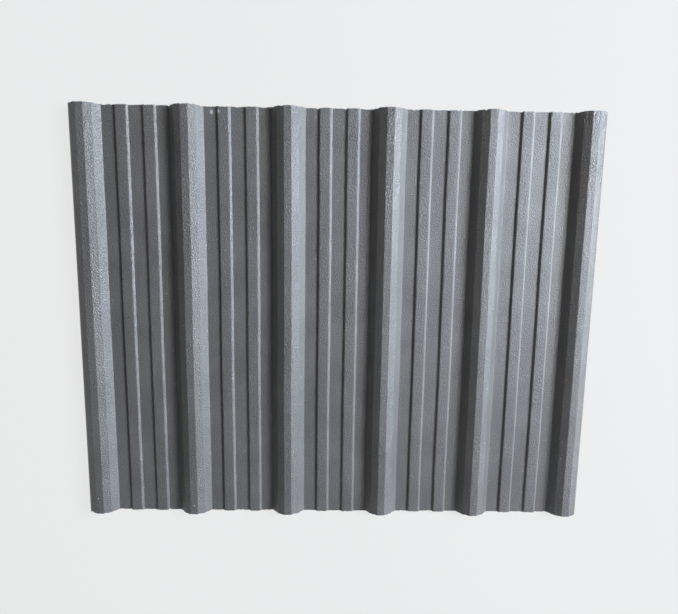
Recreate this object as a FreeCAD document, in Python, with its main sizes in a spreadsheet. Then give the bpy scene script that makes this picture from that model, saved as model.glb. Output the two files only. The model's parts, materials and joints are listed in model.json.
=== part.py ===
"""Trapezoidal roofing sheet in rigid PVC, extruded in one piece.

The sheet lies flat with its ribs up. X runs across the ribs, Y runs along them and Z is up.
The origin is at the centre of the sheet's outline, on the underside of the flat pans.

The cross-section repeats once for each rib. One repeat is a major rib with a flat crest and flanks
that break at a shoulder, then half a pan on each side, stiffened by one low swage. The six repeats
are patterned across the sheet, and both long edges are trimmed part way down the outermost flanks,
so that the edge rib of the next sheet laps over them.
"""

import FreeCAD
import Part
import Sketcher

import os

V = FreeCAD.Vector

# Driving dimensions, in millimetres, apart from rib_count. Heights are above the pan's top face.
DIMENSIONS = {
    "overall_width": 1130.0,
    "sheet_length": 908.0,
    "sheet_gauge": 2.5,
    "rib_count": 6,
    "rib_pitch": 215.0,
    "rib_height": 22.5,
    "crest_width": 16.0,
    "shoulder_width": 46.0,
    "shoulder_height": 14.5,
    "foot_width": 72.0,
    "swage_spacing": 59.0,
    "swage_height": 4.0,
    "swage_top_width": 22.5,
    "swage_foot_width": 30.5,
    "bend_radius": 1.5,
    "trim_margin": 100.0,  # how far the trimming cuts reach past the finished sheet
}

# Corners of the section's top face on one side of a rib, from the crest to the middle of the pan:
# (name, x, z, is the bend's outside on the top face). The last one ends the repeat and isn't a bend.
SWAGE_CENTRE = "(dims.rib_pitch - dims.swage_spacing) / 2"
PAN_TOP = "dims.sheet_gauge"
SWAGE_TOP = "dims.sheet_gauge + dims.swage_height"
TOP_CORNERS = [
    ("crest", "dims.crest_width / 2", "dims.sheet_gauge + dims.rib_height", True),
    ("shoulder", "dims.shoulder_width / 2", "dims.sheet_gauge + dims.shoulder_height", True),
    ("foot", "dims.foot_width / 2", PAN_TOP, False),
    ("swage_foot_in", SWAGE_CENTRE + " - dims.swage_foot_width / 2", PAN_TOP, False),
    ("swage_top_in", SWAGE_CENTRE + " - dims.swage_top_width / 2", SWAGE_TOP, True),
    ("swage_top_out", SWAGE_CENTRE + " + dims.swage_top_width / 2", SWAGE_TOP, True),
    ("swage_foot_out", SWAGE_CENTRE + " + dims.swage_foot_width / 2", PAN_TOP, False),
    ("pan_middle", "dims.rib_pitch / 2", PAN_TOP, None),
]

MATCH = 1e-4  # how near an edge must lie to a corner of the section to belong to it


def make_sheet(doc):
    """Makes the spreadsheet of driving dimensions, with one alias for each."""
    sheet = doc.addObject("Spreadsheet::Sheet", "dims")
    for row, (alias, value) in enumerate(DIMENSIONS.items(), start=1):
        sheet.set(f"A{row}", alias)
        sheet.set(f"B{row}", str(value))
        sheet.setAlias(f"B{row}", alias)
    doc.recompute()
    return sheet


def plane_of(body, role):
    """The body's own origin plane or axis with this role."""
    return next(o for o in body.Origin.OriginFeatures if o.Role == role)


def evaluate(sheet, expression):
    """The value in millimetres of an expression on the spreadsheet's cells."""
    return float(sheet.evalExpression(expression.replace("dims.", "")))


def offset_corners(corners, gauge):
    """Corners of the underside: each face of the top outline moved down by the gauge and mitred."""
    points = [V(x, z, 0) for x, z in corners]
    normals = []
    for a, b in zip(points, points[1:]):
        along = (b - a).normalize()
        normals.append(V(along.y, -along.x, 0))
    under = [points[0] + normals[0] * gauge]
    for point, before, after in zip(points[1:], normals, normals[1:]):
        mitre = before + after
        under.append(point + mitre * (gauge / (1 + before.dot(after))))
    under.append(points[-1] + normals[-1] * gauge)
    return [(p.x, p.y) for p in under]


def section_corners(sheet):
    """Top and underside corners (x, z) of one repeat, from its left end to its right end."""
    right = [(evaluate(sheet, x), evaluate(sheet, z)) for _, x, z, _ in TOP_CORNERS]
    top = [(-x, z) for x, z in reversed(right)] + right
    return top, offset_corners(top, sheet.sheet_gauge)


def add_dimension(sketch, kind, geometry, position, expression, value):
    """Dimensions one corner from the sketch's origin and binds the size to the spreadsheet."""
    index = sketch.addConstraint(Sketcher.Constraint(kind, -1, 1, geometry, position, value))
    sketch.setExpression(f"Constraints[{index}]", expression)


def draw_section(body, sheet):
    """Sketch of one repeat's closed section: the top outline, and the underside one gauge below."""
    sketch = body.newObject("Sketcher::SketchObject", "repeat_section")
    sketch.AttachmentSupport = (plane_of(body, "XZ_Plane"), [""])
    sketch.MapMode = "FlatFace"
    sketch.setExpression(
        "AttachmentOffset.Base.x", "-dims.rib_pitch * (dims.rib_count - 1) / 2"
    )
    top, under = section_corners(sheet)
    faces = len(top) - 1
    outline = top + list(reversed(under))
    lines = [
        Part.LineSegment(V(*a, 0), V(*b, 0))
        for a, b in zip(outline, outline[1:] + outline[:1])
    ]
    sketch.addGeometry(lines, False)
    for line in range(len(lines)):
        following = (line + 1) % len(lines)
        sketch.addConstraint(Sketcher.Constraint("Coincident", line, 2, following, 1))

    for step, (_, x, z, _) in enumerate(TOP_CORNERS[:-1]):
        line = faces // 2 + step  # it ends at this corner, and its mirror image starts at the twin
        mirrored = faces - 1 - line
        add_dimension(sketch, "DistanceX", line, 2, x, evaluate(sheet, x))
        add_dimension(sketch, "DistanceY", line, 2, z, evaluate(sheet, z))
        sketch.addConstraint(Sketcher.Constraint("Symmetric", mirrored, 1, line, 2, -2))
    last = faces - 1
    _, x, z, _ = TOP_CORNERS[-1]
    add_dimension(sketch, "DistanceX", last, 2, x, evaluate(sheet, x))
    add_dimension(sketch, "DistanceY", last, 2, z, evaluate(sheet, z))
    sketch.addConstraint(Sketcher.Constraint("Symmetric", 0, 1, last, 2, -2))

    for face in range(faces):
        below = len(lines) - 2 - face
        sketch.addConstraint(Sketcher.Constraint("Parallel", face, below))
        index = sketch.addConstraint(
            Sketcher.Constraint("Distance", below, 1, face, sheet.sheet_gauge)
        )
        sketch.setExpression(f"Constraints[{index}]", "dims.sheet_gauge")
    for end in (faces, len(lines) - 1):
        sketch.addConstraint(Sketcher.Constraint("Vertical", end))
    return sketch


def pad_repeat(body, sketch):
    """Pads the section along the ribs, half the length each way."""
    pad = body.newObject("PartDesign::Pad", "repeat_pad")
    pad.Profile = sketch
    pad.SideType = "Symmetric"
    pad.setExpression("Length", "dims.sheet_length")
    sketch.Visibility = False
    return pad


def bend_edges(shape, corners, shift):
    """Names of the shape's edges along Y that lie at these (x, z) corners of the section."""
    names = []
    for number, edge in enumerate(shape.Edges, start=1):
        start, end = (vertex.Point for vertex in edge.Vertexes)
        if abs(start.x - end.x) > MATCH or abs(start.z - end.z) > MATCH:
            continue
        if any(abs(start.x - x - shift) < MATCH and abs(start.z - z) < MATCH for x, z in corners):
            names.append(f"Edge{number}")
    return names


def round_bends(body, sheet, feature, name, corners, radius):
    """Fillets every bend at these corners of the section with one radius."""
    shift = -sheet.rib_pitch * (sheet.rib_count - 1) / 2
    edges = bend_edges(feature.Shape, corners, shift)
    if len(edges) != len(corners):
        raise RuntimeError(f"{name}: found {len(edges)} edges for {len(corners)} bends")
    fillet = body.newObject("PartDesign::Fillet", name)
    fillet.Base = (feature, edges)
    fillet.setExpression("Radius", radius)
    return fillet


def split_bends(sheet):
    """Corners of the bends' outsides, where the section is convex, and of their insides."""
    top, under = section_corners(sheet)
    kinds = [kind for *_, kind in TOP_CORNERS]
    kinds = list(reversed(kinds)) + kinds
    outsides, insides = [], []
    for upper, lower, convex_on_top in zip(top, under, kinds):
        if convex_on_top is None:
            continue
        outsides.append(upper if convex_on_top else lower)
        insides.append(lower if convex_on_top else upper)
    return outsides, insides


def pattern_repeats(body):
    """Repeats everything made so far across the sheet, once for each rib."""
    pattern = body.newObject("PartDesign::LinearPattern", "rib_pattern")
    pattern.TransformMode = "Whole shape"
    pattern.Direction = (plane_of(body, "X_Axis"), [""])
    pattern.Mode = "Spacing"
    pattern.setExpression("Offset", "dims.rib_pitch")
    pattern.setExpression("Occurrences", "dims.rib_count")
    body.Tip = pattern
    return pattern


def draw_trims(body, sheet):
    """Sketch of the two strips outside the sheet's overall width, seen from above."""
    sketch = body.newObject("Sketcher::SketchObject", "edge_strips")
    sketch.AttachmentSupport = (plane_of(body, "XY_Plane"), [""])
    sketch.MapMode = "FlatFace"
    near = "dims.overall_width / 2"
    far = "(dims.overall_width / 2 + dims.trim_margin)"
    end = "(dims.sheet_length / 2 + dims.trim_margin)"
    for side in ("", "-"):
        first = sketch.GeometryCount
        corners = [
            (side + near, "-" + end),
            (side + far, "-" + end),
            (side + far, end),
            (side + near, end),
        ]
        points = [V(evaluate(sheet, x), evaluate(sheet, y), 0) for x, y in corners]
        for a, b in zip(points, points[1:] + points[:1]):
            sketch.addGeometry(Part.LineSegment(a, b), False)
        for step in range(4):
            following = first + (step + 1) % 4
            sketch.addConstraint(Sketcher.Constraint("Coincident", first + step, 2, following, 1))
            kind = "Vertical" if step % 2 else "Horizontal"
            sketch.addConstraint(Sketcher.Constraint(kind, first + step))
        for corner in (0, 2):
            (x, y), point = corners[corner], points[corner]
            add_dimension(sketch, "DistanceX", first + corner, 1, x, point.x)
            add_dimension(sketch, "DistanceY", first + corner, 1, y, point.y)
    return sketch


def trim_edges(body, sketch):
    """Cuts both long edges straight down through the outermost flanks."""
    pocket = body.newObject("PartDesign::Pocket", "edge_trim")
    pocket.Profile = sketch
    pocket.SideType = "Symmetric"
    pocket.setExpression("Length", "2 * dims.trim_margin")
    sketch.Visibility = False
    return pocket


def make_roof_sheet(doc, sheet):
    """The whole sheet as one body: section, pad, bends, pattern and trimmed edges."""
    body = doc.addObject("PartDesign::Body", "roof_sheet")
    body.Label = "roof_sheet"
    pad = pad_repeat(body, draw_section(body, sheet))
    doc.recompute()
    outsides, insides = split_bends(sheet)
    outer = round_bends(
        body, sheet, pad, "bend_outsides", outsides, "dims.bend_radius + dims.sheet_gauge"
    )
    doc.recompute()
    round_bends(body, sheet, outer, "bend_insides", insides, "dims.bend_radius")
    doc.recompute()
    pattern = pattern_repeats(body)
    doc.recompute()
    untrimmed = pattern.Shape.Volume
    trim = trim_edges(body, draw_trims(body, sheet))
    doc.recompute()
    if trim.Shape.Volume >= untrimmed:
        raise RuntimeError("the edge trim cut nothing")
    return body


def check_document(doc):
    """Stops the build if any object failed to recompute."""
    for item in doc.Objects:
        if "Invalid" in item.State or "Error" in item.State:
            raise RuntimeError(f"{item.Name} failed: {item.State}")


def export(bodies):
    """Writes each sub-part's solid to parts/LABEL.step."""
    os.makedirs("parts", exist_ok=True)
    for body in bodies:
        shape = body.Shape
        if shape.isNull() or not shape.isValid() or len(shape.Solids) != 1:
            raise RuntimeError(f"{body.Label} is not one valid solid")
        box = shape.BoundBox
        shape.exportStep(f"parts/{body.Label}.step")
        print(
            f"{body.Label}: {box.XLength:.2f} x {box.YLength:.2f} x {box.ZLength:.2f} mm, "
            f"{shape.Volume / 1000:.1f} cm3, {len(shape.Faces)} faces"
        )


def main():
    """Builds the document, checks it and writes the sheet's solid."""
    doc = FreeCAD.newDocument("roof_sheet")
    sheet = make_sheet(doc)
    body = make_roof_sheet(doc, sheet)
    check_document(doc)
    export([body])


main()
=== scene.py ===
"""Looks of a trapezoidal roofing sheet extruded in dark grey PVC, lying flat with its ribs up.

The sheet is one piece. Its skin is worked out from the same section as the CAD solid: flat crests,
flanks that break at a shoulder, and low swages in the pans. It adds what the solid leaves out: slight
waves along the ribs, the ragged ends that a saw leaves, and the stippled satin finish.
Lengths are in metres. X runs across the ribs, Y runs along them and Z is up.
"""

import json
import logging
import math
from dataclasses import dataclass, field
from enum import Enum
from typing import Sequence

import bpy
import numpy as np
from mathutils import Matrix, Vector


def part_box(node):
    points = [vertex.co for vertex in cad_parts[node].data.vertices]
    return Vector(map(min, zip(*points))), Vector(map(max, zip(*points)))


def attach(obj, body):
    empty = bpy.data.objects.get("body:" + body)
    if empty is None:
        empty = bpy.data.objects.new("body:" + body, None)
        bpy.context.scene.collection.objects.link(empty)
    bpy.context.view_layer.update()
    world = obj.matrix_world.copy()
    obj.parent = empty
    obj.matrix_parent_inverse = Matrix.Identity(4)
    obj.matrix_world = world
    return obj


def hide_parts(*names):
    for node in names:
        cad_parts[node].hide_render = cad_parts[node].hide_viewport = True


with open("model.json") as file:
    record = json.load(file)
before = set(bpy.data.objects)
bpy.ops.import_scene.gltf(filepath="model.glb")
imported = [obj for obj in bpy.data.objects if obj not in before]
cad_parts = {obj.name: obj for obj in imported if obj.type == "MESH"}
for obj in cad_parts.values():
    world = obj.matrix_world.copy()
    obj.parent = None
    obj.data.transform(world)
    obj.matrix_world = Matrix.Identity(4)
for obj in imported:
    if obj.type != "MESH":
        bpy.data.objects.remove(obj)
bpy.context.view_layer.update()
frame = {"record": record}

BODY = "root"
CAD_NODE = "roof_sheet"
MM = 0.001
NOISE_BAND = (0.3, 0.7)  # a noise mostly lies between these
NOISE_SWING = 0.25  # how far a noise mostly rises and falls, for the depth of a bump

log = logging.getLogger("roof_sheet")


class Slot(Enum):
    """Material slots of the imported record."""

    PVC = "pvc"


# --------------------------------------------------------------------------- node helpers


class NodeTree:
    """A material's or world's node tree, with short calls for the nodes that the finishes share."""

    def __init__(self, tree: bpy.types.NodeTree) -> None:
        """Empties the tree and starts anew.

        Args:
            tree: the node tree to write in.
        """
        self.tree = tree
        tree.nodes.clear()

    def add(self, kind: str, **settings: object) -> bpy.types.Node:
        """Adds a node.

        Args:
            kind: the node's Blender type.
            settings: properties of the node by name.

        Returns:
            The new node.
        """
        node = self.tree.nodes.new(kind)
        for name, value in settings.items():
            setattr(node, name, value)
        return node

    def put(self, target: bpy.types.NodeSocket, value: object) -> None:
        """Links a socket to the target, or sets the target's own value.

        Args:
            target: the input to feed.
            value: a socket, or a plain value.
        """
        if isinstance(value, bpy.types.NodeSocket):
            self.tree.links.new(value, target)
        else:
            target.default_value = value

    def math(self, operation: str, *values: object, clamp: bool = False) -> bpy.types.NodeSocket:
        """Adds a Math node.

        Args:
            operation: the node's operation.
            values: its two or three inputs, values or sockets.
            clamp: whether the result is held from 0 to 1.

        Returns:
            The result's socket.
        """
        node = self.add("ShaderNodeMath", operation=operation, use_clamp=clamp)
        for socket, value in zip(node.inputs, values):
            self.put(socket, value)
        return node.outputs[0]

    def vector(self, operation: str, first: object, second: object) -> bpy.types.NodeSocket:
        """Adds a Vector Math node with a vector result.

        Args:
            operation: the node's operation.
            first: its first input, a value or socket.
            second: its second input, a value or socket.

        Returns:
            The result's socket.
        """
        node = self.add("ShaderNodeVectorMath", operation=operation)
        self.put(node.inputs[0], first)
        self.put(node.inputs[1], second)
        return node.outputs["Vector"]

    def length(self, vector: bpy.types.NodeSocket) -> bpy.types.NodeSocket:
        """Adds a Vector Math node that measures a vector.

        Args:
            vector: the vector's socket.

        Returns:
            The length's socket.
        """
        node = self.add("ShaderNodeVectorMath", operation="LENGTH")
        self.put(node.inputs[0], vector)
        return node.outputs["Value"]

    def ramp(
        self, value: object, low: float, high: float, start: float = 0.0, end: float = 1.0
    ) -> bpy.types.NodeSocket:
        """Adds a smooth step of a value.

        Args:
            value: the value or socket to step.
            low: where the step begins.
            high: where the step ends.
            start: the result at low and before it.
            end: the result at high and past it.

        Returns:
            The result's socket.
        """
        node = self.add("ShaderNodeMapRange", interpolation_type="SMOOTHSTEP")
        self.put(node.inputs["Value"], value)
        node.inputs["From Min"].default_value = low
        node.inputs["From Max"].default_value = high
        node.inputs["To Min"].default_value = start
        node.inputs["To Max"].default_value = end
        return node.outputs["Result"]

    def noise(
        self, vector: object, size: float, detail: float = 2.0, distortion: float = 0.0
    ) -> bpy.types.NodeSocket:
        """Adds a noise from 0 to 1.

        Args:
            vector: the place that the noise is read at.
            size: about how many metres across its blobs are.
            detail: how many finer layers it has.
            distortion: how far its blobs are pulled out of round.

        Returns:
            The noise's socket.
        """
        node = self.add("ShaderNodeTexNoise")
        self.put(node.inputs["Vector"], vector)
        node.inputs["Scale"].default_value = 1.0 / size
        node.inputs["Detail"].default_value = detail
        node.inputs["Distortion"].default_value = distortion
        return node.outputs["Fac"]

    def mix(
        self, factor: object, first: object, second: object, blend: str = "MIX"
    ) -> bpy.types.NodeSocket:
        """Adds a mix of two colours.

        Args:
            factor: how much of the blend is used, from 0 to 1.
            first: the colour at 0.
            second: the colour that is blended in.
            blend: the way of blending.

        Returns:
            The mixed colour's socket.
        """
        node = self.add("ShaderNodeMix", data_type="RGBA", blend_type=blend)
        self.put(node.inputs["Factor"], factor)
        self.put(node.inputs["A"], first)
        self.put(node.inputs["B"], second)
        return node.outputs["Result"]


def grey(level: float, tint: Sequence[float] = (1.0, 1.0, 1.0)) -> tuple[float, float, float, float]:
    """An opaque colour.

    Args:
        level: its lightness.
        tint: what its red, green and blue are multiplied by.

    Returns:
        Its red, green, blue and alpha.
    """
    return (level * tint[0], level * tint[1], level * tint[2], 1.0)


# --------------------------------------------------------------------------- finish


@dataclass(frozen=True)
class Scuff:
    """A pale rub mark: a soft ellipse on the sheet, seen from above."""

    x: float
    y: float
    half_width: float
    half_length: float
    strength: float


@dataclass(frozen=True)
class StippledPvc:
    """Dark grey satin PVC with a fine pebbled emboss, pale scuffs, dust specks and sawn rims."""

    colour: tuple[float, float, float, float] = grey(0.098, (1.07, 1.0, 0.91))
    cloud_size: float = 90 * MM
    cloud_depth: float = 0.10
    ior: float = 1.5
    sheen_size: float = 160 * MM
    roughness: float = 0.37
    roughness_swing: float = 0.05
    specular_level: float = 0.85
    pebble_size: float = 2.6 * MM
    pebble_height: float = 0.33 * MM
    grit_size: float = 0.9 * MM
    grit_share: float = 0.25
    raised_heights: tuple[float, float] = (3 * MM, 5 * MM)
    raised_gain: float = 1.25
    sawn_colour: tuple[float, float, float, float] = grey(0.22)
    sawn_roughness: float = 0.35
    scuff_colour: tuple[float, float, float, float] = grey(0.50, (1.06, 1.0, 0.92))
    scuffs: tuple[Scuff, ...] = (
        Scuff(-0.270, 0.442, 4.5 * MM, 6.5 * MM, 1.0),
        Scuff(-0.255, 0.442, 4.0 * MM, 6.0 * MM, 1.0),
        Scuff(-0.540, -0.416, 2.0 * MM, 2.4 * MM, 1.0),
        Scuff(-0.322, -0.432, 2.0 * MM, 2.4 * MM, 1.0),
        Scuff(-0.376, 0.056, 1.8 * MM, 2.0 * MM, 0.8),
    )
    scuff_core: float = 0.3
    scuff_grain: float = 3 * MM
    scuff_breaks: tuple[float, float] = (0.28, 0.60)
    speck_spacing: float = 26 * MM
    speck_edge: tuple[float, float] = (0.022, 0.045)
    speck_rarity: float = 0.93
    speck_strength: float = 0.7

    def make(self, sawn_attribute: str) -> bpy.types.Material:
        """Builds the material.

        Args:
            sawn_attribute: point attribute that is 1 on the sawn rims and 0 elsewhere.

        Returns:
            The finished material.
        """
        material = bpy.data.materials.new("stippled_pvc")
        material.use_nodes = True
        nodes = NodeTree(material.node_tree)
        place = nodes.add("ShaderNodeTexCoord").outputs["Object"]
        shader = nodes.add("ShaderNodeBsdfPrincipled")
        output = nodes.add("ShaderNodeOutputMaterial")
        nodes.put(output.inputs["Surface"], shader.outputs["BSDF"])
        relief = self.relief(nodes, place)
        nodes.put(shader.inputs["Base Color"], self.tone(nodes, place, sawn_attribute))
        nodes.put(shader.inputs["Roughness"], self.gloss(nodes, place, sawn_attribute))
        nodes.put(shader.inputs["Normal"], relief)
        shader.inputs["IOR"].default_value = self.ior
        shader.inputs["Specular IOR Level"].default_value = self.specular_level
        return material

    def relief(self, nodes: NodeTree, place: bpy.types.NodeSocket) -> bpy.types.NodeSocket:
        """Normals of the emboss: rounded pebbles, unevenly sized, with a finer grit between them.

        The height is the pebbles' noise plus a share of the grit's. It grows a little on everything
        that stands above the pans, where the emboss is deeper.

        Args:
            nodes: the material's node tree.
            place: the Object coordinates.

        Returns:
            The normal's socket.
        """
        pebbles = nodes.noise(place, self.pebble_size, detail=1.5, distortion=0.6)
        grit = nodes.noise(place, self.grit_size, detail=1.0)
        height = nodes.math("MULTIPLY_ADD", grit, self.grit_share, pebbles)
        parts = nodes.add("ShaderNodeSeparateXYZ")
        nodes.put(parts.inputs[0], place)
        pressed = nodes.ramp(parts.outputs["Z"], *self.raised_heights, 1.0, self.raised_gain)
        height = nodes.math("MULTIPLY", height, pressed)
        bump = nodes.add("ShaderNodeBump")
        bump.inputs["Strength"].default_value = 1.0
        bump.inputs["Distance"].default_value = self.pebble_height / NOISE_SWING
        nodes.put(bump.inputs["Height"], height)
        return bump.outputs["Normal"]

    def tone(
        self, nodes: NodeTree, place: bpy.types.NodeSocket, sawn_attribute: str
    ) -> bpy.types.NodeSocket:
        """Base colour: cloudy dark grey, paler where scuffed, dusty or sawn.

        Args:
            nodes: the material's node tree.
            place: the Object coordinates.
            sawn_attribute: point attribute that is 1 on the sawn rims and 0 elsewhere.

        Returns:
            The colour's socket.
        """
        clouds = nodes.noise(place, self.cloud_size, detail=3.0)
        low, high = 1.0 - self.cloud_depth, 1.0 + self.cloud_depth
        factor = nodes.ramp(clouds, *NOISE_BAND, low, high)
        colour = nodes.mix(1.0, self.colour, factor, "MULTIPLY")
        rubbed = self.scuff_mask(nodes, place)
        colour = nodes.mix(rubbed, colour, self.scuff_colour)
        colour = nodes.mix(self.speck_mask(nodes, place), colour, self.scuff_colour)
        sawn = nodes.add("ShaderNodeAttribute", attribute_name=sawn_attribute).outputs["Fac"]
        return nodes.mix(sawn, colour, self.sawn_colour)

    def gloss(
        self, nodes: NodeTree, place: bpy.types.NodeSocket, sawn_attribute: str
    ) -> bpy.types.NodeSocket:
        """Roughness: satin, with broad changes of sheen, and matt where sawn.

        Args:
            nodes: the material's node tree.
            place: the Object coordinates.
            sawn_attribute: point attribute that is 1 on the sawn rims and 0 elsewhere.

        Returns:
            The roughness's socket.
        """
        sheen = nodes.noise(place, self.sheen_size, detail=2.0)
        low, high = self.roughness - self.roughness_swing, self.roughness + self.roughness_swing
        satin = nodes.ramp(sheen, *NOISE_BAND, low, high)
        sawn = nodes.add("ShaderNodeAttribute", attribute_name=sawn_attribute).outputs["Fac"]
        return nodes.math("MULTIPLY_ADD", sawn, self.sawn_roughness, satin, clamp=True)

    def scuff_mask(self, nodes: NodeTree, place: bpy.types.NodeSocket) -> bpy.types.NodeSocket:
        """How rubbed each point is: the sum of soft ellipses, broken up by noise.

        Args:
            nodes: the material's node tree.
            place: the Object coordinates.

        Returns:
            The mask's socket, from 0 to 1.
        """
        total: object = 0.0
        for scuff in self.scuffs:
            offset = nodes.vector("SUBTRACT", place, (scuff.x, scuff.y, 0.0))
            stretch = (1.0 / scuff.half_width, 1.0 / scuff.half_length, 0.0)
            reach = nodes.length(nodes.vector("MULTIPLY", offset, stretch))
            total = nodes.math("ADD", total, nodes.ramp(reach, self.scuff_core, 1.0, scuff.strength, 0.0))
        broken = nodes.ramp(nodes.noise(place, self.scuff_grain, detail=3.0), *self.scuff_breaks)
        return nodes.math("MULTIPLY", total, broken, clamp=True)

    def speck_mask(self, nodes: NodeTree, place: bpy.types.NodeSocket) -> bpy.types.NodeSocket:
        """Sparse dust specks: small discs at the seeds of a few cells of a flat mosaic.

        Args:
            nodes: the material's node tree.
            place: the Object coordinates.

        Returns:
            The mask's socket, from 0 to the specks' strength.
        """
        cells = nodes.add("ShaderNodeTexVoronoi", voronoi_dimensions="2D")
        nodes.put(cells.inputs["Vector"], place)
        cells.inputs["Scale"].default_value = 1.0 / self.speck_spacing
        near = nodes.ramp(cells.outputs["Distance"], *self.speck_edge, 1.0, 0.0)
        chosen = nodes.add("ShaderNodeSeparateColor")
        nodes.put(chosen.inputs["Color"], cells.outputs["Color"])
        few = nodes.math("GREATER_THAN", chosen.outputs["Red"], self.speck_rarity)
        return nodes.math("MULTIPLY", nodes.math("MULTIPLY", near, few), self.speck_strength)


# --------------------------------------------------------------------------- sheet


@dataclass(frozen=True)
class Section:
    """The sheet's cross-section. Widths are measured on the top face and heights above the pans."""

    gauge: float = 2.5 * MM
    crest_width: float = 16.0 * MM
    shoulder_width: float = 46.0 * MM
    shoulder_height: float = 14.5 * MM
    foot_width: float = 72.0 * MM
    swage_spacing: float = 59.0 * MM
    swage_height: float = 4.0 * MM
    swage_top_width: float = 22.5 * MM
    swage_foot_width: float = 30.5 * MM
    bend_radius: float = 1.5 * MM
    bend_steps: int = 4
    point_spacing: float = 3.6 * MM

    def corners(self, crests: np.ndarray, half_width: float, rib_height: float) -> np.ndarray:
        """Sharp corners (x, z) of the top face from the left edge to the right edge.

        A rib has its two feet, shoulders and crest corners, and a pan has two swages of four
        corners each. The first and last foot move up their flanks to the sheet's edges.

        Args:
            crests: X of each rib's middle.
            half_width: half of the sheet's overall width.
            rib_height: height of a crest's top face above a pan's.

        Returns:
            An array of corners, two numbers each.
        """
        foot, shoulder, crest = self.foot_width / 2, self.shoulder_width / 2, self.crest_width / 2
        rib_x = np.array([-foot, -shoulder, -crest, crest, shoulder, foot])
        rib_z = np.array([0.0, self.shoulder_height, rib_height, rib_height, self.shoulder_height, 0.0])
        swage_x = np.array([-1, -1, 1, 1]) / 2 * np.array(
            [self.swage_foot_width, self.swage_top_width, self.swage_top_width, self.swage_foot_width]
        )
        pan_x = np.concatenate([swage_x - self.swage_spacing / 2, swage_x + self.swage_spacing / 2])
        pan_z = np.tile([0.0, self.swage_height, self.swage_height, 0.0], 2)
        middles = (crests[:-1] + crests[1:]) / 2
        parts = [np.stack([crests[0] + rib_x, rib_z], 1)]
        for crest_x, middle in zip(crests[1:], middles):
            parts.append(np.stack([middle + pan_x, pan_z], 1))
            parts.append(np.stack([crest_x + rib_x, rib_z], 1))
        points = np.concatenate(parts)
        points[:, 1] += self.gauge
        for end, inner, edge in ((0, 1, -half_width), (-1, -2, half_width)):
            share = (edge - points[inner, 0]) / (points[end, 0] - points[inner, 0])
            points[end] = points[inner] + share * (points[end] - points[inner])
        return points

    def outline(self, corners: np.ndarray) -> tuple[np.ndarray, np.ndarray]:
        """Rounds the corners and spaces points along the top face.

        A bend is an arc tangent to both faces: its centre lies one radius off the first face, on
        the side that the path turns to, and its points turn about it by equal angles. The radius
        is the inside one where the path turns up, and one gauge more where it turns down.

        Args:
            corners: the sharp corners, in order.

        Returns:
            The points (x, z) of the top face, and the unit normal up and away from it at each.
        """
        along = np.diff(corners, axis=0)
        lengths = np.linalg.norm(along, axis=1, keepdims=True)
        along = along / lengths
        normals = np.stack([-along[:, 1], along[:, 0]], 1)
        turn = np.arcsin(along[:-1, 0] * along[1:, 1] - along[:-1, 1] * along[1:, 0])
        radius = np.where(turn > 0, self.bend_radius, self.bend_radius + self.gauge)
        setback = radius * np.tan(np.abs(turn) / 2)
        side = np.sign(turn)[:, None]
        starts = corners[1:-1] - setback[:, None] * along[:-1]
        ends = corners[1:-1] + setback[:, None] * along[1:]
        centres = starts + side * radius[:, None] * normals[:-1]
        angle = turn[:, None] * np.linspace(0, 1, self.bend_steps + 1)[None, :]
        first = normals[:-1][:, None, :]
        turned = np.stack([
            first[..., 0] * np.cos(angle) - first[..., 1] * np.sin(angle),
            first[..., 0] * np.sin(angle) + first[..., 1] * np.cos(angle),
        ], -1)
        arcs = centres[:, None, :] - (side * radius[:, None])[:, None, :] * turned
        face_starts = np.concatenate([corners[:1], ends])
        face_ends = np.concatenate([starts, corners[-1:]])
        points, facing = [], []
        for number, (a, b) in enumerate(zip(face_starts, face_ends)):
            steps = max(2, int(np.ceil(np.linalg.norm(b - a) / self.point_spacing)))
            share = np.linspace(0, 1, steps + 1)[:, None]
            inner = slice(0 if number == 0 else 1, None if number == len(along) - 1 else -1)
            points.append((a + share * (b - a))[inner])
            facing.append(np.repeat(normals[number][None, :], steps + 1, 0)[inner])
            if number < len(arcs):
                points.append(arcs[number])
                facing.append(turned[number])
        return np.concatenate(points), np.concatenate(facing)


@dataclass(frozen=True)
class Wave:
    """One slow sine over the sheet. Each length is of a whole turn, and a negative one runs back."""

    length_y: float
    length_x: float
    phase: float
    height: float = 1.0

    def at(self, x: np.ndarray, y: np.ndarray) -> np.ndarray:
        """The wave's value: its height times the sine of its turns along Y and X, plus its phase."""
        return self.height * np.sin(2 * np.pi * (y / self.length_y + x / self.length_x) + self.phase)


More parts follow.
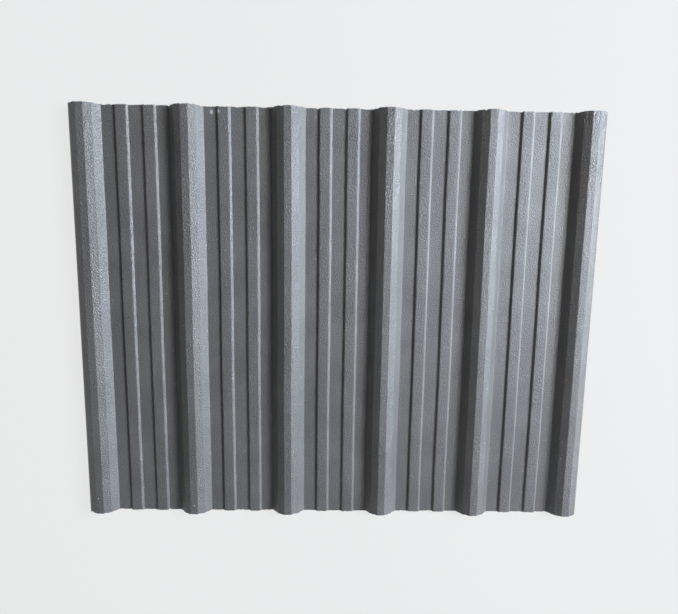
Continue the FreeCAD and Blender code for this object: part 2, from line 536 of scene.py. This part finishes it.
@dataclass
class RoofSheet:
    """The whole sheet: one closed skin with a top face, an underside, two edges and two sawn ends."""

    section: Section = field(default_factory=Section)
    finish: StippledPvc = field(default_factory=StippledPvc)
    wave_height: float = 0.35 * MM
    swells: tuple[Wave, ...] = (
        Wave(0.41, 0.53, 0.4),
        Wave(0.23, -0.37, 2.1, 0.6),
        Wave(0.137, 0.19, 4.0, 0.4),
    )
    wave_sway: float = 0.5 * MM
    sways: tuple[Wave, ...] = (Wave(0.62, 1.3, 1.0), Wave(0.29, 0.6, 3.0, 0.4))
    sway_fade: float = 0.125
    end_wander: float = 0.8 * MM
    wander_size: float = 0.11
    end_chips: float = 1.5 * MM
    chip_size: float = 4.5 * MM
    chip_power: int = 3
    nick_size: float = 9 * MM
    nick_power: int = 6
    nick_gain: float = 1.3
    lower_follows: float = 0.7
    lower_strays: float = 0.3
    end_rows: tuple[float, ...] = (0.0, 0.8 * MM, 2.5 * MM, 6 * MM, 13 * MM, 26 * MM)
    row_count: int = 36
    sharp_angle: float = math.radians(40)
    seed: int = 7
    sawn_attribute: str = "sawn"

    def crests(self) -> np.ndarray:
        """X of each rib's middle, from the record's mounts on the crests."""
        mounts = frame["record"]["mounts"]
        return np.array(sorted(m["pos_m"][0] for m in mounts if m["name"].startswith("crest_face")))

    def smooth_noise(self, generator: np.random.Generator, place: np.ndarray, size: float) -> np.ndarray:
        """A wandering line from -1 to 1: random values at knots `size` apart, joined by cosine steps.

        Args:
            generator: source of the random values.
            place: positions along the line, from 0 up.
            size: distance between knots.

        Returns:
            The line's value at each position.
        """
        knots = generator.uniform(-1, 1, int(place.max() / size) + 3)
        whole = np.floor(place / size).astype(int)
        share = (1 - np.cos(np.pi * (place / size - whole))) / 2
        return knots[whole] * (1 - share) + knots[whole + 1] * share

    def ragged_end(self, generator: np.random.Generator, girth: np.ndarray) -> np.ndarray:
        """How far a sawn end stops short, at each point along the section.

        The cut wanders slowly, and fine chips and rarer nicks break it up. Both are raised to a
        power, so that most are small and a few stand out.

        Args:
            generator: source of the random values.
            girth: distance along the section of each point.

        Returns:
            The shortfall at each point, none below zero.
        """
        wander = self.smooth_noise(generator, girth, self.wander_size) * 0.5 + 0.5
        chips = np.abs(self.smooth_noise(generator, girth, self.chip_size)) ** self.chip_power
        nicks = np.abs(self.smooth_noise(generator, girth, self.nick_size)) ** self.nick_power
        return self.end_wander * wander + self.end_chips * (chips + nicks * self.nick_gain)

    def rows(self, half_length: float) -> np.ndarray:
        """Y of each row of points along the ribs, closer together near the sawn ends.

        Args:
            half_length: half of the sheet's length.

        Returns:
            The rows' places, from the lowest Y to the highest.
        """
        near = np.array(self.end_rows)
        inner = half_length - near[-1]
        middle = np.linspace(-inner, inner, self.row_count)
        return np.concatenate([-half_length + near[:-1], middle, (half_length - near[:-1])[::-1]])

    def waves(
        self, x: np.ndarray, y: np.ndarray, z: np.ndarray, low: Vector, high: Vector
    ) -> tuple[np.ndarray, np.ndarray]:
        """Bends the straight sheet a little, inside its box.

        Heights shift by the swells' sum, scaled to lie from 0 to 1, upwards at the floor and
        downwards at the crests. Places shift sideways by the sways' sum, which fades out at both
        long edges.

        Args:
            x, y, z: coordinates of every point.
            low: the box's lowest corner.
            high: the box's highest corner.

        Returns:
            The new x and z.
        """
        swell_total = sum(wave.height for wave in self.swells)
        swell = sum((wave.at(x, y) for wave in self.swells), swell_total) / (2 * swell_total)
        share = (z - low.z) / (high.z - low.z)
        lifted = z + self.wave_height * swell * (1 - 2 * share)
        fade = np.clip((1 - np.abs(x) / high.x) / self.sway_fade, 0, 1)
        sway = sum(wave.at(x, y) for wave in self.sways)
        sway_total = sum(wave.height for wave in self.sways)
        return x + self.wave_sway * sway / sway_total * fade, np.clip(lifted, low.z, high.z)

    def faces(self, rows: int, around: int, across: int) -> np.ndarray:
        """Joins the grid of points into quads.

        A wall quad joins a point to the next one round the section, and both to their twins in
        the next row. An end is a strip of quads between the top face and the underside, where
        point number k lies over point number around - 1 - k.

        Args:
            rows: how many rows of points there are along the ribs.
            around: how many points a row has.
            across: how many of those are on the top face.

        Returns:
            Four point numbers for each quad, in the order that makes it face outwards.
        """
        row = np.arange(rows - 1)[:, None] * around
        here = np.arange(around)[None, :]
        following = (here + 1) % around
        walls = np.stack([row + here, row + following, row + around + following, row + around + here], -1)
        step = np.arange(across - 1)
        mirror = around - 1 - step
        first = np.stack([step, mirror, mirror - 1, step + 1], -1)
        last = (rows - 1) * around + first[:, ::-1]
        return np.concatenate([walls.reshape(-1, 4), first, last])

    def make_mesh(self, points: np.ndarray, quads: np.ndarray) -> bpy.types.Mesh:
        """Puts points and quads into a mesh, shaded smooth except where it turns sharply.

        Args:
            points: the points, three numbers each.
            quads: four point numbers for each quad.

        Returns:
            The mesh.
        """
        mesh = bpy.data.meshes.new(CAD_NODE + "_skin")
        mesh.vertices.add(len(points))
        mesh.vertices.foreach_set("co", points.astype(np.float32).ravel())
        mesh.loops.add(quads.size)
        mesh.loops.foreach_set("vertex_index", quads.astype(np.int32).ravel())
        mesh.polygons.add(len(quads))
        mesh.polygons.foreach_set("loop_start", np.arange(0, quads.size, 4, dtype=np.int32))
        mesh.update(calc_edges=True)
        mesh.validate()
        mesh.polygons.foreach_set("use_smooth", np.ones(len(quads), bool))
        mesh.set_sharp_from_angle(angle=self.sharp_angle)
        return mesh

    def build(self) -> bpy.types.Object:
        """Makes the skin's mesh.

        The surface has two parameters: the place round the section, which runs over the top face
        from left to right and back under it, and the row along the ribs. The underside is the top
        face moved in by the gauge along its normals, so each of its bends shares the centre of the
        bend above. The ends are closed by a strip from the top face to the underside.

        Returns:
            The sheet's object.
        """
        low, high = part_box(CAD_NODE)
        section = self.section
        rib_height = high.z - low.z - section.gauge
        corners = section.corners(self.crests(), high.x, rib_height)
        top, normals = section.outline(corners)
        under = top - section.gauge * normals
        for end, inner, edge in ((0, 1, low.x), (-1, -2, high.x)):
            slope = (under[end] - under[inner]) / (under[end, 0] - under[inner, 0])
            under[end] = under[end] + slope * (edge - under[end, 0])
        ring = np.concatenate([top, under[::-1]])
        around, across = len(ring), len(top)

        rows = self.rows(high.y)
        generator = np.random.default_rng(self.seed)
        girth = np.concatenate([[0.0], np.cumsum(np.linalg.norm(np.diff(top, axis=0), axis=1))])
        shortfall = np.empty((2, around))
        for end in range(2):
            upper = self.ragged_end(generator, girth)
            lower = upper * self.lower_follows + self.ragged_end(generator, girth) * self.lower_strays
            shortfall[end] = np.concatenate([upper, lower[::-1]])
        x = np.repeat(ring[None, :, 0], len(rows), 0)
        z = np.repeat(ring[None, :, 1], len(rows), 0)
        y = np.repeat(rows[:, None], around, 1)
        reach = self.end_rows[-1]
        near_first = np.clip(1 - (y - low.y) / reach, 0, 1)
        near_last = np.clip(1 - (high.y - y) / reach, 0, 1)
        y = y + near_first * shortfall[0] - near_last * shortfall[1]
        x, z = self.waves(x, y, z, low, high)
        points = np.stack([x, y, z], -1).reshape(-1, 3)

        mesh = self.make_mesh(points, self.faces(len(rows), around, across))
        sawn = np.zeros((len(rows), around), np.float32)
        sawn[[0, -1]] = 1.0
        attribute = mesh.attributes.new(self.sawn_attribute, "FLOAT", "POINT")
        attribute.data.foreach_set("value", sawn.ravel())
        piece = bpy.data.objects.new(CAD_NODE + "_skin", mesh)
        bpy.context.scene.collection.objects.link(piece)
        return piece

    def dress(self, piece: bpy.types.Object) -> None:
        """Gives the sheet its finish and ties it to the CAD sheet that it stands for.

        Args:
            piece: the skin that build() made.
        """
        piece.data.materials.append(self.finish.make(self.sawn_attribute))
        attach(piece, BODY)
        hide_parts(CAD_NODE)


# --------------------------------------------------------------------------- stage


@dataclass(frozen=True)
class PaleFinish:
    """A pale matt finish. Most of its paleness is its own, and the rest takes light and shadows."""

    colour: tuple[float, float, float, float] = grey(0.62, (1.04, 1.0, 0.95))
    plain: tuple[float, float, float, float] = grey(0.839)
    plain_share: float = 0.91

    def make(self) -> bpy.types.Material:
        """Builds the finish, which camera, glossy and transmitted rays see mostly as one plain tone.

        Returns:
            The finished material.
        """
        material = bpy.data.materials.new("pale_studio")
        material.use_nodes = True
        nodes = NodeTree(material.node_tree)
        diffuse = nodes.add("ShaderNodeBsdfDiffuse")
        diffuse.inputs["Color"].default_value = self.colour
        plain = nodes.add("ShaderNodeEmission")
        plain.inputs["Color"].default_value = self.plain
        rays = nodes.add("ShaderNodeLightPath").outputs
        seen = nodes.math("MAXIMUM", rays["Is Camera Ray"], rays["Is Glossy Ray"])
        seen = nodes.math("MAXIMUM", seen, rays["Is Transmission Ray"])
        blend = nodes.add("ShaderNodeMixShader")
        nodes.put(blend.inputs["Fac"], nodes.math("MULTIPLY", seen, self.plain_share))
        nodes.put(blend.inputs[1], diffuse.outputs[0])
        nodes.put(blend.inputs[2], plain.outputs[0])
        output = nodes.add("ShaderNodeOutputMaterial")
        nodes.put(output.inputs["Surface"], blend.outputs[0])
        return material


@dataclass(frozen=True)
class Studio:
    """A plain pale floor just under the sheet, and a low round backdrop at its rim."""

    finish: PaleFinish = field(default_factory=PaleFinish)
    radius: float = 30.0
    wall_height: float = 15.0
    gap: float = 0.2 * MM
    segments: int = 96

    def build(self) -> list[bpy.types.Object]:
        """Makes the floor, one disc, and the backdrop, a band of upright quads that faces inwards.

        Returns:
            The floor and the backdrop.
        """
        turn = np.linspace(0, 2 * np.pi, self.segments, endpoint=False)
        rim = np.stack([np.cos(turn), np.sin(turn), np.zeros(self.segments)], 1) * self.radius
        rim[:, 2] = -self.gap
        raised = rim + np.array([0.0, 0.0, self.wall_height])
        here = np.arange(self.segments)
        following = (here + 1) % self.segments
        band = np.stack([here, here + self.segments, following + self.segments, following], 1)
        material = self.finish.make()
        stage = []
        for name, points, faces in (
            ("floor", rim, [here.tolist()]),
            ("backdrop", np.concatenate([rim, raised]), band.tolist()),
        ):
            mesh = bpy.data.meshes.new(name)
            mesh.from_pydata(points.tolist(), [], faces)
            mesh.materials.append(material)
            piece = bpy.data.objects.new(name, mesh)
            bpy.context.scene.collection.objects.link(piece)
            stage.append(piece)
        return stage


@dataclass(frozen=True)
class Sky:
    """Soft surroundings: dim and warm overhead, and brighter and cooler towards the near end.

    Lower down they run from dark brown on the left to bright and cool on the right.
    """

    overhead: tuple[float, float, float, float] = grey(0.03, (1.25, 1.0, 0.75))
    near_end: tuple[float, float, float, float] = grey(0.42, (0.75, 0.98, 1.28))
    window_side: tuple[float, float, float, float] = grey(1.2, (0.84, 0.99, 1.16))
    far_side: tuple[float, float, float, float] = grey(0.07, (1.40, 1.0, 0.60))
    band_low: float = 0.40
    band_high: float = 0.75
    near_turn: tuple[float, float] = (0.0, -0.6)
    side_turn: tuple[float, float] = (-0.3, 0.8)

    def build(self) -> None:
        """Writes the world's node tree: a horizon band that fades up into the overhead tone."""
        world = bpy.data.worlds.new("studio")
        world.use_nodes = True
        bpy.context.scene.world = world
        nodes = NodeTree(world.node_tree)
        direction = nodes.add("ShaderNodeTexCoord").outputs["Generated"]
        parts = nodes.add("ShaderNodeSeparateXYZ")
        nodes.put(parts.inputs[0], direction)
        nearness = nodes.ramp(parts.outputs["Y"], *self.near_turn)
        upper = nodes.mix(nearness, self.overhead, self.near_end)
        rightness = nodes.ramp(parts.outputs["X"], *self.side_turn)
        horizon = nodes.mix(rightness, self.far_side, self.window_side)
        band = nodes.ramp(parts.outputs["Z"], self.band_low, self.band_high)
        background = nodes.add("ShaderNodeBackground")
        nodes.put(background.inputs["Color"], nodes.mix(band, horizon, upper))
        output = nodes.add("ShaderNodeOutputWorld")
        nodes.put(output.inputs["Surface"], background.outputs["Background"])


@dataclass(frozen=True)
class Softbox:
    """A broad soft lamp at one side, near enough to fade across the sheet."""

    name: str
    azimuth: float
    elevation: float
    distance: float
    width: float
    height: float
    power: float
    colour: tuple[float, float, float]

    def build(self) -> None:
        """Makes the lamp. It shines from azimuth, turned from +X towards +Y, at its elevation."""
        lamp = bpy.data.lights.new(self.name, "AREA")
        lamp.shape = "RECTANGLE"
        lamp.size = self.width
        lamp.size_y = self.height
        lamp.energy = self.power
        lamp.color = self.colour
        light = bpy.data.objects.new(self.name, lamp)
        towards = Vector((
            math.cos(self.azimuth) * math.cos(self.elevation),
            math.sin(self.azimuth) * math.cos(self.elevation),
            math.sin(self.elevation),
        ))
        light.rotation_euler = towards.to_track_quat("Z", "Y").to_euler()
        light.location = towards * self.distance
        bpy.context.scene.collection.objects.link(light)


KEY = Softbox(
    name="key",
    azimuth=math.radians(14),
    elevation=math.radians(35),
    distance=3.6,
    width=1.3,
    height=1.2,
    power=142.0,
    colour=(0.99, 0.99, 1.02),
)
LOW = Softbox(
    name="low",
    azimuth=math.radians(14),
    elevation=math.radians(26),
    distance=6.5,
    width=3.2,
    height=1.6,
    power=540.0,
    colour=(0.77, 0.98, 1.26),
)


@dataclass(frozen=True)
class Viewpoint:
    """Camera above the sheet, a little towards its far end, looking almost straight down."""

    place: tuple[float, float, float] = (-0.0122, 0.1921, 1.1399)
    aim: tuple[float, float, float] = (0.0046, 0.0300, 0.0)
    roll: float = math.radians(0.81)
    lens: float = 27.42
    sensor_width: float = 36.0

    def build(self) -> None:
        """Makes the camera and sets it as the scene's own.

        Its back axis points from the aim to the camera, its right axis is square to that and to
        the sheet's Y, and both then turn about the back axis by the roll.
        """
        back = (Vector(self.place) - Vector(self.aim)).normalized()
        level = Vector((0, 1, 0)).cross(back).normalized()
        upright = back.cross(level)
        right = level * math.cos(self.roll) + upright * math.sin(self.roll)
        up = upright * math.cos(self.roll) - level * math.sin(self.roll)
        data = bpy.data.cameras.new("camera")
        data.lens = self.lens
        data.sensor_width = self.sensor_width
        camera = bpy.data.objects.new("camera", data)
        turn = Matrix((right, up, back)).transposed().to_4x4()
        camera.matrix_world = Matrix.Translation(self.place) @ turn
        bpy.context.scene.collection.objects.link(camera)
        bpy.context.scene.camera = camera


def main() -> None:
    """Builds the stage, then the sheet, and reports each piece."""
    logging.basicConfig(level=logging.INFO, format="%(name)s: %(message)s")
    bpy.context.scene.view_settings.view_transform = "Standard"
    Viewpoint().build()
    for scenery in Studio().build():
        log.info("%s: stage", scenery.name)
    Sky().build()
    for lamp in (KEY, LOW):
        lamp.build()
    sheet = RoofSheet()
    piece = sheet.build()
    sheet.dress(piece)
    log.info("%s: %d points, %d faces", piece.name, len(piece.data.vertices), len(piece.data.polygons))


if __name__ == "__main__":
    main()
